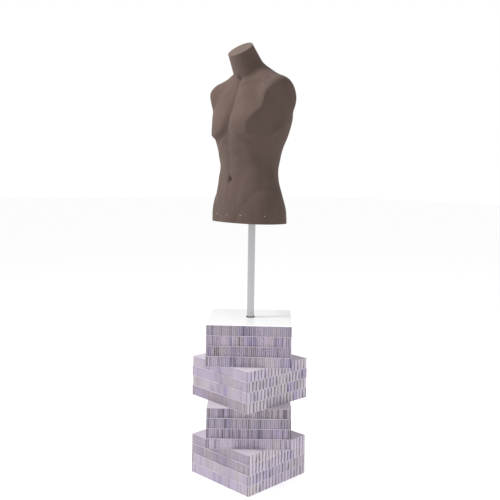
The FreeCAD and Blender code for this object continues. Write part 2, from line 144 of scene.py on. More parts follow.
class Bench:
    """A node tree under construction, for a material or for geometry."""

    def __init__(self, tree: bpy.types.NodeTree) -> None:
        """Keeps the tree."""
        self.tree = tree

    def add(
        self,
        kind: str,
        settings: Optional[Mapping[str, Any]] = None,
        inputs: Optional[Mapping[Union[str, int], Any]] = None,
        out: Union[str, int] = 0,
    ) -> Wire:
        """Adds one node.

        Args:
            kind: The node's type.
            settings: The node's own settings, which are set first.
            inputs: Values or wires by the input's name or number.
            out: The output to return, by name or number.

        Returns:
            That output.
        """
        node = self.tree.nodes.new(kind)
        for name, value in (settings or {}).items():
            setattr(node, name, value)
        for name, value in (inputs or {}).items():
            if isinstance(value, Wire):
                self.tree.links.new(value.socket, node.inputs[name])
            else:
                node.inputs[name].default_value = value
        socket = node.outputs[out] if len(node.outputs) else node.inputs[0]
        return Wire(self, socket)

    def other(self, wire: Wire, name: Union[str, int]) -> Wire:
        """Another output of the node that a wire comes from."""
        return Wire(self, wire.socket.node.outputs[name])

    def blend(self, share: Value, first: Any, second: Any) -> Wire:
        """A colour between two colours."""
        pair = [c if isinstance(c, Wire) else (*c, 1.0) for c in (first, second)]
        settings = {"data_type": "RGBA"}
        return self.add("ShaderNodeMix", settings, {0: share, 6: pair[0], 7: pair[1]}, out=2)

    def tinted(self, colour: Any, share: Value) -> Wire:
        """A colour made lighter or darker by a factor."""
        settings = {"operation": "SCALE"}
        base = colour if isinstance(colour, Wire) else tuple(colour)
        return self.add("ShaderNodeVectorMath", settings, {0: base, "Scale": share})

    def place(self) -> Wire:
        """The point's place in the object's own axes."""
        return self.add("ShaderNodeTexCoord", out="Object")

    def stretched(self, scale: Point3, turn: Point3 = (0.0, 0.0, 0.0)) -> Wire:
        """Object coordinates with a scale of their own along each axis."""
        inputs = {"Vector": self.place(), "Scale": scale, "Rotation": turn}
        return self.add("ShaderNodeMapping", {}, inputs)

    def noise(self, vector: Wire, scale: float, detail: float = 2.0, rough: float = 0.5,
              seed: Value = 0.0) -> Wire:
        """Noise from about 0 to 1 at a place."""
        inputs = {"Vector": vector, "W": seed, "Scale": scale, "Detail": detail, "Roughness": rough}
        return self.add("ShaderNodeTexNoise", {"noise_dimensions": "4D"}, inputs)

    def bump(self, height: Wire, distance: float, strength: float = 1.0) -> Wire:
        """A normal that a height tips."""
        return self.add("ShaderNodeBump", {}, {"Height": height, "Distance": distance, "Strength": strength})


# ------------------------------------------------------------------------------------------------ finishes
@dataclass(frozen=True)
class Finish:
    """What every finish has: a name and a colour."""

    name: str
    colour: Colour

    def material(self) -> bpy.types.Material:
        """The finished material, built at its first use."""
        return bpy.data.materials.get(f"{self.name}_finish") or self.build()

    def build(self) -> bpy.types.Material:
        """Builds the material: this finish's surface into the output."""
        made = bpy.data.materials.new(f"{self.name}_finish")
        made.use_nodes = True
        made.node_tree.nodes.clear()
        bench = Bench(made.node_tree)
        shader = bench.add("ShaderNodeBsdfPrincipled", {}, self.surface(bench))
        bench.add("ShaderNodeOutputMaterial", {}, {"Surface": shader})
        return made

    def surface(self, bench: Bench) -> dict[str, Any]:
        """What the shader's sockets take. Each kind of finish says it."""
        raise NotImplementedError


@dataclass(frozen=True)
class Metal(Finish):
    """Turned, drawn or plated metal, with marks that run one way."""

    roughness: float = 0.3
    marks: Point3 = (900.0, 900.0, 6.0)
    depth: float = 0.00002
    coat: float = 0.0

    def surface(self, bench: Bench) -> dict[str, Any]:
        """Fine drawn lines, slow dulling and a little grime."""
        lines = bench.noise(bench.stretched(self.marks), 1.0, 3.0, 0.6)
        dull = bench.noise(bench.place(), 22.0, 3.0)
        return {
            "Base Color": bench.tinted(self.colour, 0.9 + 0.12 * lines + 0.08 * dull),
            "Metallic": 1.0,
            "Roughness": (self.roughness * 0.8 + 0.12 * lines + 0.14 * dull - 0.06).held(0.05, 1.0),
            "Coat Weight": self.coat,
            "Coat Roughness": 0.08,
            "Normal": bench.bump(lines, self.depth),
        }


@dataclass(frozen=True)
class Moulded(Finish):
    """Moulded plastic or rubber with a fine grain."""

    roughness: float = 0.5
    grain: float = 900.0
    depth: float = 0.00006
    wear: float = 0.12

    def surface(self, bench: Bench) -> dict[str, Any]:
        """Leather-like grain, faint mottling and rubbed places."""
        cells = bench.add("ShaderNodeTexVoronoi", {"feature": "SMOOTH_F1"}, {
            "Vector": bench.place(), "Scale": self.grain})
        mottle = bench.noise(bench.place(), 35.0, 4.0)
        rubbed = bench.noise(bench.place(), 9.0, 2.0).over(0.5, 0.75)
        return {
            "Base Color": bench.tinted(self.colour, 0.92 + 0.16 * mottle + self.wear * rubbed),
            "Roughness": (self.roughness + 0.12 * (mottle - 0.5) - 0.5 * self.wear * rubbed).held(0.1, 1.0),
            "Normal": bench.bump(cells, self.depth),
        }


@dataclass(frozen=True)
class Sheet(Finish):
    """A polished white plastic sheet, with a painted glow so that it stays white in soft light."""

    roughness: float = 0.06
    glow: float = 0.22

    def surface(self, bench: Bench) -> dict[str, Any]:
        """Fine hair scratches and faint wipe marks in a clear gloss."""
        brushed = bench.stretched((14.0, 900.0, 14.0), (0.0, 0.0, 0.6))
        scratches = bench.noise(brushed, 1.0, 2.0, 0.7).over(0.62, 0.72)
        wiped = bench.noise(bench.place(), 7.0, 3.0)
        return {
            "Base Color": bench.tinted(self.colour, 0.97 + 0.04 * wiped),
            "Roughness": (self.roughness + 0.06 * wiped + 0.08 * scratches).held(0.02, 1.0),
            "Coat Weight": 0.6,
            "Coat Roughness": 0.03,
            # painted glow: the sheet gives off a little light of its own
            "Emission Color": (1.0, 1.0, 1.0, 1.0),
            "Emission Strength": self.glow,
            "Normal": bench.bump(scratches, 0.000004),
        }


@dataclass(frozen=True)
class Paper(Finish):
    """Plain liner or tube paper with fibres in it."""

    fleck: float = 0.05
    winding: bool = False

    def surface(self, bench: Bench) -> dict[str, Any]:
        """Felted fibres, cloudy formation and, on a wound tube, the edge of each turn."""
        fibres = bench.noise(bench.stretched((1.0, 1.0, 1.6)), 2600.0, 4.0, 0.7)
        clouds = bench.noise(bench.place(), 90.0, 4.0, 0.6)
        height = fibres + 0.6 * clouds
        if self.winding:
            height = height + bench.add("ShaderNodeTexWave", {"bands_direction": "Z"}, {
                "Vector": bench.place(), "Scale": 12.0, "Distortion": 0.0})
        light = 1.0 - self.fleck + self.fleck * fibres + self.fleck * clouds
        return {
            "Base Color": bench.tinted(self.colour, light),
            "Roughness": (0.8 + 0.15 * fibres).held(0.0, 1.0),
            "Normal": bench.bump(height, 0.00003),
        }


@dataclass(frozen=True)
class CombPaper(Finish):
    """The paper of the cores: lilac grey, with pinker and more violet stretches."""

    pinkish: Colour = (0.5, 0.5, 0.5)
    violet: Colour = (0.5, 0.5, 0.5)
    dull: Colour = (0.3, 0.3, 0.3)
    painted_gap_depth: float = 0.5
    notch_shade_depth: float = 0.44
    fin_contrast: float = 0.28
    fin_loss: float = 0.16

    def surface(self, bench: Bench) -> dict[str, Any]:
        """Colour that changes along a board, a step per ribbon, and painted shade in deep cells and notches.
        """
        place = bench.stretched((1.0, 1.0, 0.0))
        ribbon, hollow, board, lightness, fins = (
            bench.add("ShaderNodeAttribute", {"attribute_name": name}, out="Fac")
            for name in (RIBBON, NOTCH_SHADE, BOARD, SHADE, FINS)
        )
        step = bench.add("ShaderNodeTexWhiteNoise", {"noise_dimensions": "2D"}, {
            "Vector": bench.add("ShaderNodeCombineXYZ", {}, {"X": ribbon, "Y": board})})
        gap = bench.add("ShaderNodeTexWhiteNoise", {"noise_dimensions": "2D"}, {
            "Vector": bench.add("ShaderNodeCombineXYZ", {}, {"X": ribbon + 0.5, "Y": board + 2.0})})
        warm = bench.noise(place, 9.0, 3.0, 0.6, board).over(0.42, 0.62)
        cold = bench.noise(place, 15.0, 2.0, 0.5, board + 7.0).over(0.56, 0.66)
        dark = bench.noise(place, 14.0, 2.0, 0.6, board + 3.0).over(0.56, 0.72)
        fibres = bench.noise(bench.place(), 1800.0, 3.0, 0.7)
        tone = bench.blend(warm, self.colour, self.pinkish)
        tone = bench.blend(0.75 * cold, tone, self.violet)
        tone = bench.blend(0.28 * dark, tone, self.dull)
        # painted shade: a random few ribbons are darkened, standing in for the shadow in deep open cells;
        # each block's fins value sets how much
        painted_gap_shade = 1.0 - self.painted_gap_depth * fins * gap.over(0.80, 0.86)
        # painted shade in the notched hollows of the outer ribbons, on top of the painted gap shade
        painted_cell_shade = painted_gap_shade * (1.0 - self.notch_shade_depth * hollow.over(0.02, 0.6))
        ribbons = 0.97 + fins * (self.fin_contrast * step - self.fin_loss) + 0.06 * fibres
        light = ribbons * painted_cell_shade * lightness
        return {
            "Base Color": bench.tinted(tone, light),
            "Roughness": (0.78 + 0.15 * fibres).held(0.0, 1.0),
            "Normal": bench.bump(fibres, 0.00003),
        }


@dataclass(frozen=True)
class Flock(Finish):
    """A short flock coat on a moulded shell."""

    tips: Colour = (0.3, 0.3, 0.3)
    sheen: float = 0.10

    def surface(self, bench: Bench) -> dict[str, Any]:
        """Fibre tips, brushed patches and a soft nap."""
        fibres = bench.noise(bench.place(), 1500.0, 3.0, 0.75)
        clumps = bench.noise(bench.place(), 260.0, 3.0, 0.6)
        brushed = bench.noise(bench.stretched((1.0, 1.0, 0.45)), 14.0, 3.0, 0.55)
        share = (0.55 * fibres + 0.25 * clumps + 0.35 * brushed).over(0.38, 0.78)
        return {
            "Base Color": bench.blend(share, self.colour, self.tips),
            "Roughness": (0.86 + 0.12 * fibres).held(0.0, 1.0),
            "Specular IOR Level": 0.15,
            "Sheen Weight": self.sheen,
            "Sheen Roughness": 0.5,
            "Sheen Tint": (0.80, 0.72, 0.74, 1.0),
            "Normal": bench.bump(fibres + 0.5 * clumps, 0.00016),
        }


@dataclass(frozen=True)
class Plywood(Finish):
    """Birch plywood: grain on the faces and layers on the edge."""

    layer: float = 0.0014
    end_grain: Colour = (0.2, 0.12, 0.06)

    def surface(self, bench: Bench) -> dict[str, Any]:
        """Long grain, pores and alternate layers by height."""
        grain = bench.noise(bench.stretched((9.0, 240.0, 240.0)), 1.0, 4.0, 0.65)
        height = bench.add("ShaderNodeSeparateXYZ", {}, {0: bench.place()}, out="Z")
        layers = ((height / self.layer) % 2.0 > 1.0) * 0.3
        return {
            "Base Color": bench.blend((0.5 * grain + layers).held(0.0, 1.0), self.colour, self.end_grain),
            "Roughness": (0.55 + 0.25 * grain).held(0.0, 1.0),
            "Normal": bench.bump(grain, 0.0001),
        }


@dataclass(frozen=True)
class Backdrop(Finish):
    """A lit white floor."""

    glow: float = 0.5

    def surface(self, bench: Bench) -> dict[str, Any]:
        """Even white with a faint mottle."""
        mottle = bench.noise(bench.place(), 3.0, 3.0)
        return {
            "Base Color": bench.tinted(self.colour, 0.98 + 0.02 * mottle),
            "Roughness": 0.9,
            "Emission Color": (1.0, 1.0, 1.0, 1.0),
            "Emission Strength": self.glow,
        }


# Attribute names that the cores carry; the one for notches marks where the comb paper gets painted shade.
RIBBON = "ribbon"
NOTCH_SHADE = "hollow"
BOARD = "board"
SHADE = "shade"
FINS = "fins"

# Lightness of each board, with the lowest block and its lowest board first.
BOARD_SHADES = (
    (1.04, 1.02, 1.04, 1.04),
    (1.06, 1.12, 0.88, 1.12),
    (1.04, 1.03, 0.99, 1.03),
    (1.04, 1.12, 1.26, 0.90),
)
BLOCK_FINS = (0.35, 1.0, 0.2, 0.8)  # how strongly each block's ribbons differ in tone, and how deep its painted gap shade is

FLOOR_PAINT = Backdrop("studio_floor_paint", paint(250, 250, 250))
COMB_PAPER = CombPaper("comb_paper", paint(208, 198, 215), paint(211, 202, 209), paint(184, 174, 206),
                       paint(148, 139, 149))
LINER_PAPER = Paper("liner_paper", paint(211, 203, 213))
TUBE_PAPER = Paper("tube_paper", paint(190, 170, 142), 0.12, True)
TOP_SHEET = Sheet("top_sheet", paint(252, 252, 253))
BASE_COAT = Moulded("base_powder_coat", paint(198, 198, 200), 0.45, 1400.0, 0.00005, 0.04)
FOOT_RUBBER = Moulded("foot_rubber", paint(40, 40, 40), 0.75, 1100.0)
GROMMET_RUBBER = Moulded("grommet_rubber", paint(62, 60, 64), 0.6, 1600.0)
NYLON = Moulded("natural_nylon", paint(226, 222, 212), 0.4, 1500.0, 0.00003, 0.03)
KNOB_PLASTIC = Moulded("knob_plastic", paint(34, 34, 36), 0.5, 1200.0)
BOLT_STEEL = Metal("zinc_plated_steel", paint(196, 198, 202), 0.36, (300.0, 300.0, 300.0))
POLE_STEEL = Metal("satin_pole_steel", paint(196, 196, 199), 0.33)
TUBE_CHROME = Metal("chromed_tube", paint(212, 212, 216), 0.12)
TURNED_STEEL = Metal("turned_steel", paint(188, 189, 194), 0.28, (40.0, 40.0, 1800.0))
BRASS = Metal("turned_brass", paint(206, 176, 112), 0.26, (40.0, 1800.0, 40.0))
PIN_STEEL = Metal("bright_pin", paint(216, 216, 218), 0.25, (500.0, 500.0, 500.0))
SOCKET_ENAMEL = Moulded("socket_enamel", paint(66, 66, 70), 0.35, 500.0, 0.00003)
HIP_PLYWOOD = Plywood("hip_plywood", paint(222, 196, 158))
TORSO_FLOCK = Flock("torso_flock", paint(84, 70, 63), paint(104, 87, 80))
NECK_FLOCK = Flock("neck_flock", paint(94, 81, 73), paint(116, 101, 93))


# ------------------------------------------------------------------------------------------------ helpers
def closed_mesh(name: str, points: Array, faces: Sequence[Sequence[int]],
                smooth_to: float) -> bpy.types.Object:
    """An object on a mesh, smooth except where faces meet at more than an angle.

    Args:
        name: The piece's name.
        points: One row of x, y, z for each vertex.
        faces: The vertices of each face, counter-clockwise from outside.
        smooth_to: The angle in degrees up to which shading runs over an edge.

    Returns:
        The object, linked to the scene.
    """
    mesh = bpy.data.meshes.new(name)
    mesh.from_pydata(points.tolist(), [], faces)
    mesh.shade_smooth()
    mesh.set_sharp_from_angle(angle=math.radians(smooth_to))
    made = bpy.data.objects.new(name, mesh)
    bpy.context.scene.collection.objects.link(made)
    return made


def dress(node: str, finish: Finish) -> None:
    """Gives a CAD node its finish and reports it."""
    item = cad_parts[node]
    item.data.materials.clear()
    item.data.materials.append(finish.material())
    LOG.info("dressed %s in %s", node, finish.name)


def settle(piece: bpy.types.Object, body: str, stands_for: Sequence[str]) -> None:
    """Lets a new piece ride on its body in place of its CAD nodes."""
    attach(piece, body)
    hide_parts(*stands_for)
    LOG.info("made %s: %d faces, on %s", piece.name, len(piece.data.polygons), body)


def smooth_step(start: float, end: float, value: Array) -> Array:
    """0 at start and 1 at end, level at both."""
    t = np.clip((value - start) / (end - start), 0.0, 1.0)
    return t * t * (3 - 2 * t)


def smooth_min(first: Array, second: Array, soft: float) -> Array:
    """The smaller of two fields, with a fillet where they meet."""
    t = np.clip(0.5 + 0.5 * (second - first) / soft, 0.0, 1.0)
    return second + (first - second) * t - soft * t * (1 - t)


def facing(turn: float, lean: float) -> Point3:
    """Direction square to a flat that is turned from +X towards the front and leans down."""
    return math.cos(turn) * math.cos(lean), -math.sin(turn) * math.cos(lean), -math.sin(lean)


def line_distance(x: Array, h: Array, points: Sequence[Point2]) -> tuple[Array, Array]:
    """Distance to a line of straight runs.

    Args:
        x: Places across.
        h: Heights.
        points: The line's points.

    Returns:
        The distance, and how far along the line its nearest point is, from 0 to 1.
    """
    near = np.full(np.broadcast(x, h).shape, np.inf)
    along = np.zeros_like(near)
    runs = len(points) - 1
    for i, ((x0, h0), (x1, h1)) in enumerate(zip(points, points[1:])):
        dx, dh = x1 - x0, h1 - h0
        t = np.clip(((x - x0) * dx + (h - h0) * dh) / (dx * dx + dh * dh), 0, 1)
        distance = np.hypot(x - x0 - t * dx, h - h0 - t * dh)
        closer = distance < near
        near = np.where(closer, distance, near)
        along = np.where(closer, (i + t) / runs, along)
    return near, along


def rounded(corners: Sequence[Point2], rounds: int = 3) -> list[Point2]:
    """A closed outline with its corners cut again and again until they are round."""
    points = np.array(corners)
    for _ in range(rounds):
        after = np.roll(points, -1, axis=0)
        points = np.stack([0.75 * points + 0.25 * after, 0.25 * points + 0.75 * after], axis=1).reshape(-1, 2)
    return [tuple(p) for p in points]


# ------------------------------------------------------------------------------------------------ honeycomb
@dataclass
class Comb:
    """The ribbons of one core, as a rule that Geometry Nodes follow.

    Each ribbon is a strip of paper on edge. It runs along the board's own Y and steps from side to side, and
    the next one mirrors it, so that a row of long six-sided cells opens between them.
    """

    pitch: float = 0.0038
    steps: int = 72
    paper: float = 0.0006
    glue_gap: float = 0.0001
    notch: float = 0.0066
    pinch: float = 0.38
    drift: float = 0.0008
    crush: float = 0.0042
    lean: float = 0.0045
    hub: float = 0.0195
    hub_reach: float = 0.06

    def tree(self) -> bpy.types.NodeTree:
        """The node tree that makes one core, standing on z = 0 and square to the axes."""
        name = "honeycomb_core"
        found = bpy.data.node_groups.get(name)
        if found:
            return found
        tree = bpy.data.node_groups.new(name, "GeometryNodeTree")
        tree.interface.new_socket("Geometry", in_out="OUTPUT", socket_type="NodeSocketGeometry")
        for title, kind in (("Side", "Float"), ("Height", "Float"), ("Ribbons", "Int"), ("Phase", "Int"),
                            ("Seed", "Float"), ("Shade", "Float"), ("Fins", "Float"),
                            ("Pocket", "Float"), ("Pocket height", "Float"), ("Paper", "Material")):
            tree.interface.new_socket(title, in_out="INPUT", socket_type=f"NodeSocket{kind}")
        bench = Bench(tree)
        side = bench.add("NodeGroupInput", out="Side")
        height, ribbons = bench.other(side, "Height"), bench.other(side, "Ribbons")
        strips = self.strips(bench, side, height, ribbons)
        moved = self.folded(bench, strips, side, height, ribbons)
        inputs = {"Geometry": moved, "Material": bench.other(side, "Paper")}
        dressed = bench.add("GeometryNodeSetMaterial", {}, inputs)
        bench.add("NodeGroupOutput", {}, {"Geometry": dressed})
        return tree

    def strips(self, bench: Bench, side: Wire, height: Wire, ribbons: Wire) -> Wire:
        """Straight strips side by side, each with its number."""
        box = bench.add("ShaderNodeCombineXYZ", {}, {"X": self.paper, "Y": side, "Z": height})
        strip = bench.add("GeometryNodeMeshCube", {}, {
            "Size": box, "Vertices X": 2, "Vertices Y": self.steps + 1, "Vertices Z": 2})
        start = bench.add("ShaderNodeCombineXYZ", {}, {"X": side * -0.5 + 0.5 * self.pitch})
        line = bench.add("GeometryNodeMeshLine", {"mode": "OFFSET"}, {
            "Count": ribbons, "Start Location": start, "Offset": (self.pitch, 0.0, 0.0)})
        laid = bench.add("GeometryNodeInstanceOnPoints", {}, {"Points": line, "Instance": strip})
        numbered = self.stored(bench, laid, "INSTANCE", {RIBBON: bench.add("GeometryNodeInputIndex")})
        return bench.add("GeometryNodeRealizeInstances", {}, {"Geometry": numbered})

    @staticmethod
    def stored(bench: Bench, geometry: Wire, domain: str, values: Mapping[str, Wire]) -> Wire:
        """The geometry with each value kept in it as an attribute."""
        settings = {"data_type": "FLOAT", "domain": domain}
        for name, value in values.items():
            inputs = {"Geometry": geometry, "Name": name, "Value": value}
            geometry = bench.add("GeometryNodeStoreNamedAttribute", settings, inputs)
        return geometry

    def folded(self, bench: Bench, strips: Wire, side: Wire, height: Wire, ribbons: Wire) -> Wire:
        """The strips stepped, crushed in places, pushed round the sleeve and lifted over the base plate."""
        number = bench.add("GeometryNodeInputNamedAttribute", {"data_type": "FLOAT"}, {"Name": RIBBON})
        place = bench.add("GeometryNodeInputPosition")
        x = bench.add("ShaderNodeSeparateXYZ", {}, {0: place}, out="X")
        y, z = bench.other(x, "Y"), bench.other(x, "Z") + height * 0.5
        seed = bench.other(side, "Seed")
        middle = side * -0.5 + (number + 0.5) * self.pitch
        step = ((y + side * 0.5) / side * float(self.steps)).math("ROUND") + bench.other(side, "Phase")
        turn = step % 4.0
        wave = 1.0 - 2.0 * (turn > 1.5)
        mirror = 1.0 - 2.0 * (number % 2.0)
        swing = 0.5 * self.pitch - 0.5 * self.paper - self.glue_gap
        first, last = number < 0.5, number > (ribbons - 1.5)
        inside = 1.0 - first - last
        edge = side * 0.5 - 0.5 * self.paper
        notch = (turn > 2.5) * self.notch
        inner = (middle + wave * mirror * swing) * inside
        centre = inner + (notch - edge) * first + (edge - notch) * last

        slow = bench.noise(place, 55.0, 1.0, 0.5, seed) - 0.5
        rare = bench.noise(place, 16.0, 1.0, 0.5, seed + 11.0).over(0.6, 0.72)
        sharp = bench.noise(place, 190.0, 0.0, 0.5, seed + 5.0) - 0.5
        centre = centre + (slow * (2 * self.drift) + sharp * rare * (2 * self.crush)) * inside
        within = centre.held(0.0 - edge + 0.5 * self.paper, edge - 0.5 * self.paper)
        centre = within * inside + centre * (1.0 - inside)
        outwards = middle.math("SIGN")
        centre = (centre * outwards).math("MAXIMUM", self.paper) * outwards
        across = centre + (x - middle)
        fade = (side * 0.5 - y.math("ABSOLUTE")).over(0.0, 0.03)
        upright = bench.add("ShaderNodeCombineXYZ", {}, {"X": y, "Y": z, "Z": x * 0.2})
        shift = (bench.noise(upright, 34.0, 1.0, 0.5, seed + 3.0) - 0.5) * (2 * self.lean) * fade
        beside = (turn < 0.5) * -1.0 + (turn > 1.5) - (turn > 2.5)
        narrow = beside * (first + last) * fade.math("SIGN") * (side * (self.pinch / self.steps))
        along = y + shift + narrow

        clear = (self.hub ** 2 - along * along).math("MAXIMUM", 0.0).math("SQRT")
        out = across * outwards
        beyond = (out * (1.0 - clear / self.hub_reach) + clear).math("MAXIMUM", out)
        pocket = bench.other(side, "Pocket")
        over_plate = (across.math("ABSOLUTE") < pocket) * (along.math("ABSOLUTE") < pocket)
        raised = z.math("MAXIMUM", bench.other(side, "Pocket height"))
        up = z * (1.0 - over_plate) + raised * over_plate
        target = bench.add("ShaderNodeCombineXYZ", {}, {"X": beyond * outwards, "Y": along, "Z": up})
        placed = bench.add("GeometryNodeSetPosition", {}, {"Geometry": strips, "Position": target})
        # Marks the outer ribbons' notches, where the comb paper gets painted shade.
        deep = (notch / self.notch) * (first + last)
        return self.stored(bench, placed, "POINT", {
            NOTCH_SHADE: deep, BOARD: seed, SHADE: bench.other(side, "Shade"), FINS: bench.other(side, "Fins")})


@dataclass
class HoneycombBlock:
    """One block: four boards of honeycomb between liners, turned about the pole."""

    number: int
    comb: Comb
    shades: tuple[float, ...]
    fins: float
    plate_gap: float = 0.0015

    def square(self) -> tuple[float, float]:
        """The block's side and its turn about the pole in radians, read from the corners of its liners."""
        places = np.array([v.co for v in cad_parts[f"block_{self.number}_liners"].data.vertices])
        corner = places[np.argmax(np.hypot(places[:, 0], places[:, 1]))]
        reach = math.hypot(corner[0], corner[1])
        turn = (math.atan2(corner[1], corner[0]) - math.pi / 4) % (math.pi / 2)
        return reach * math.sqrt(2), turn

    def core(self, board: int, body: str) -> None:
        """One core, made by the node tree and set in its place.

        Args:
            board: The board's number in the block, from 1 at the bottom.
            body: The body that the block belongs to.
        """
        node = f"block_{self.number}_core_{board}"
        low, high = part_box(node)
        side, turn = self.square()
        pocket, pocket_height = 0.0, 0.0
        if self.number == 1 and board == 1:
            plate_low, plate_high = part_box("base_plate")
            reach = (plate_high.x - plate_low.x) / (math.cos(turn) + math.sin(turn))
            pocket = reach / 2 + self.plate_gap + side / self.comb.steps
            pocket_height = plate_high.z - low.z + self.plate_gap
        draw = np.random.default_rng(100 * self.number + board)
        settings = {
            "Side": side, "Height": high.z - low.z, "Ribbons": int(round(side / self.comb.pitch)),
            "Phase": int(draw.integers(0, 4)), "Seed": float(draw.uniform(0, 50)),
            "Shade": self.shades[board - 1], "Fins": self.fins, "Pocket": pocket,
            "Pocket height": pocket_height, "Paper": COMB_PAPER.material(),
        }
        piece = grown(f"{node}_ribbons", self.comb.tree(), settings)
        piece.data.transform(Matrix.Translation((0, 0, low.z)) @ Matrix.Rotation(turn, 4, "Z"))
        settle(piece, body, [node])

    def build(self) -> None:
        """Makes the cores and dresses the liners and the sleeve."""
        body = "base" if self.number == 1 else f"block_{self.number}"
        for board in range(1, len(self.shades) + 1):
            self.core(board, body)
        dress(f"block_{self.number}_liners", LINER_PAPER)
        dress(f"block_{self.number}_sleeve", TUBE_PAPER)


def grown(name: str, tree: bpy.types.NodeTree, settings: Mapping[str, Any]) -> bpy.types.Object:
    """A plain mesh object that a geometry tree makes.

    Args:
        name: The piece's name.
        tree: The geometry tree.
        settings: The tree's inputs by name.

    Returns:
        The object, with no modifier left on it.
    """
    host = bpy.data.objects.new(name, bpy.data.meshes.new(f"{name}_seed"))
    bpy.context.scene.collection.objects.link(host)
    modifier = host.modifiers.new("grow", "NODES")
    modifier.node_group = tree
    sockets = {s.name: s.identifier for s in tree.interface.items_tree if s.in_out == "INPUT"}
    for title, value in settings.items():
        modifier[sockets[title]] = value
    graph = bpy.context.evaluated_depsgraph_get()
    mesh = bpy.data.meshes.new_from_object(host.evaluated_get(graph))
    host.modifiers.remove(modifier)
    host.data = mesh
    return host


# ------------------------------------------------------------------------------------------------ torso
class Side(Enum):
    """Which side of the body a feature is on."""

    FRONT = "front"
    BACK = "back"
    FLANK = "flank"

    def share(self, y: Array) -> Array:
        """How much of the feature shows at a depth."""
        if self is Side.FRONT:
            return smooth_step(-0.020, -0.055, y)
        if self is Side.BACK:
            return smooth_step(0.010, 0.050, y)
        return smooth_step(0.020, -0.020, y)


@dataclass(frozen=True)
class Swell:
    """A round rise, or a hollow if its rise is negative, the same on both sides of the body."""

    place: Point2
    radii: Point2
    rise: float
    side: Side = Side.FRONT
    top: float = 1.0

    def height(self, x: Array, y: Array, h: Array) -> Array:
        """How far the skin stands out for it."""
        across, up = ((p - at) / radius for p, at, radius in zip((x, h), self.place, self.radii))
        round_off = np.exp(-across ** 2 - up ** 2)
        return self.rise * round_off * self.side.share(y) * smooth_step(self.top, self.top - 0.028, h)


@dataclass(frozen=True)
class Ridge:
    """A ridge, or a groove if its rise is negative, along a line."""

    points: tuple[Point2, ...]
    width: float
    rise: float
    side: Side = Side.FRONT
    thins: float = 0.0

    def height(self, x: Array, y: Array, h: Array) -> Array:
        """How far the skin stands out for it."""
        distance, along = line_distance(x, h, self.points)
        profile = np.exp(-(distance / self.width) ** 2) * (1 - self.thins * along)
        return self.rise * profile * self.side.share(y)


@dataclass(frozen=True)
class Plate:
    """A flat muscle with an outline, thickest low down."""

    outline: tuple[Point2, ...]
    edge: Point2
    rise: float
    least: float
    fade: Point2

    def height(self, x: Array, y: Array, h: Array) -> Array:
        """How far the skin stands out for it."""
        corners = rounded(self.outline)
        distance, _ = line_distance(x, h, corners + corners[:1])
        odd = np.zeros(distance.shape, bool)
        for (x0, h0), (x1, h1) in zip(corners, corners[1:] + corners[:1]):
            if h0 != h1:
                odd ^= ((h0 > h) != (h1 > h)) & (x < (x1 - x0) * (h - h0) / (h1 - h0) + x0)
        depth = np.where(odd, distance, -distance)
        thick = self.least + (self.rise - self.least) * smooth_step(*self.fade, h)
        middle = 1 - 0.3 * smooth_step(0.07, 0.0, x)
        return smooth_step(*self.edge, depth) * thick * middle * Side.FRONT.share(y)


CHEST = Plate(
    ((0.006, 0.505), (0.006, 0.352), (0.018, 0.330), (0.045, 0.314), (0.074, 0.306), (0.104, 0.314),
     (0.126, 0.334), (0.140, 0.366), (0.153, 0.398), (0.172, 0.440), (0.191, 0.480), (0.196, 0.520),
     (0.120, 0.520), (0.060, 0.510)),
    (-0.006, 0.020), 0.018, 0.003, (0.480, 0.335),
)
MUSCLES: tuple[Union[Swell, Ridge], ...] = (
    Ridge(((0.0, 0.345), (0.0, 0.505)), 0.008, -0.0036),  # breastbone
    Swell((0.0, 0.322), (0.022, 0.016), -0.0055),  # pit of the stomach
    Swell((0.0, 0.534), (0.013, 0.013), -0.008),  # pit of the neck
    # collar bone
    Ridge(((0.012, 0.520), (0.060, 0.533), (0.110, 0.530), (0.150, 0.520)), 0.010, 0.0045, thins=0.8),
    Swell((0.095, 0.508), (0.040, 0.013), -0.0035),
    Ridge(((0.0, 0.095), (0.0, 0.300)), 0.010, -0.0018),  # middle line of the belly
    Ridge(((0.064, 0.300), (0.064, 0.200), (0.048, 0.080)), 0.016, -0.0013),  # side lines
    Ridge(((0.0, 0.287), (0.045, 0.294)), 0.009, -0.0012),
    Ridge(((0.0, 0.245), (0.045, 0.250)), 0.009, -0.0012),
    Ridge(((0.0, 0.205), (0.045, 0.209)), 0.009, -0.0010),
    Ridge(((0.008, 0.318), (0.048, 0.292), (0.088, 0.250), (0.118, 0.214)), 0.014, 0.0022),  # ribs
    Swell((0.0, 0.162), (0.0080, 0.012), -0.015),  # navel
    Swell((0.0, 0.160), (0.022, 0.024), 0.0022),
    Swell((0.112, 0.172), (0.034, 0.034), 0.007, Side.FLANK, top=0.232),  # flank over the hip
    Ridge(((0.150, 0.140), (0.118, 0.112), (0.080, 0.066), (0.052, 0.012)), 0.014, -0.0026),
    Ridge(((0.0, 0.045), (0.0, 0.470)), 0.012, -0.008, Side.BACK),  # spine
    Ridge(((0.032, 0.055), (0.032, 0.280)), 0.016, 0.004, Side.BACK),
    Swell((0.084, 0.438), (0.034, 0.052), 0.006, Side.BACK),  # shoulder blade
    Swell((0.120, 0.330), (0.034, 0.060), 0.003, Side.BACK),
    Ridge(((0.016, 0.560), (0.030, 0.470), (0.010, 0.390)), 0.016, 0.0025, Side.BACK),
    Swell((0.070, 0.0), (0.060, 0.045), 0.004, Side.BACK),
)


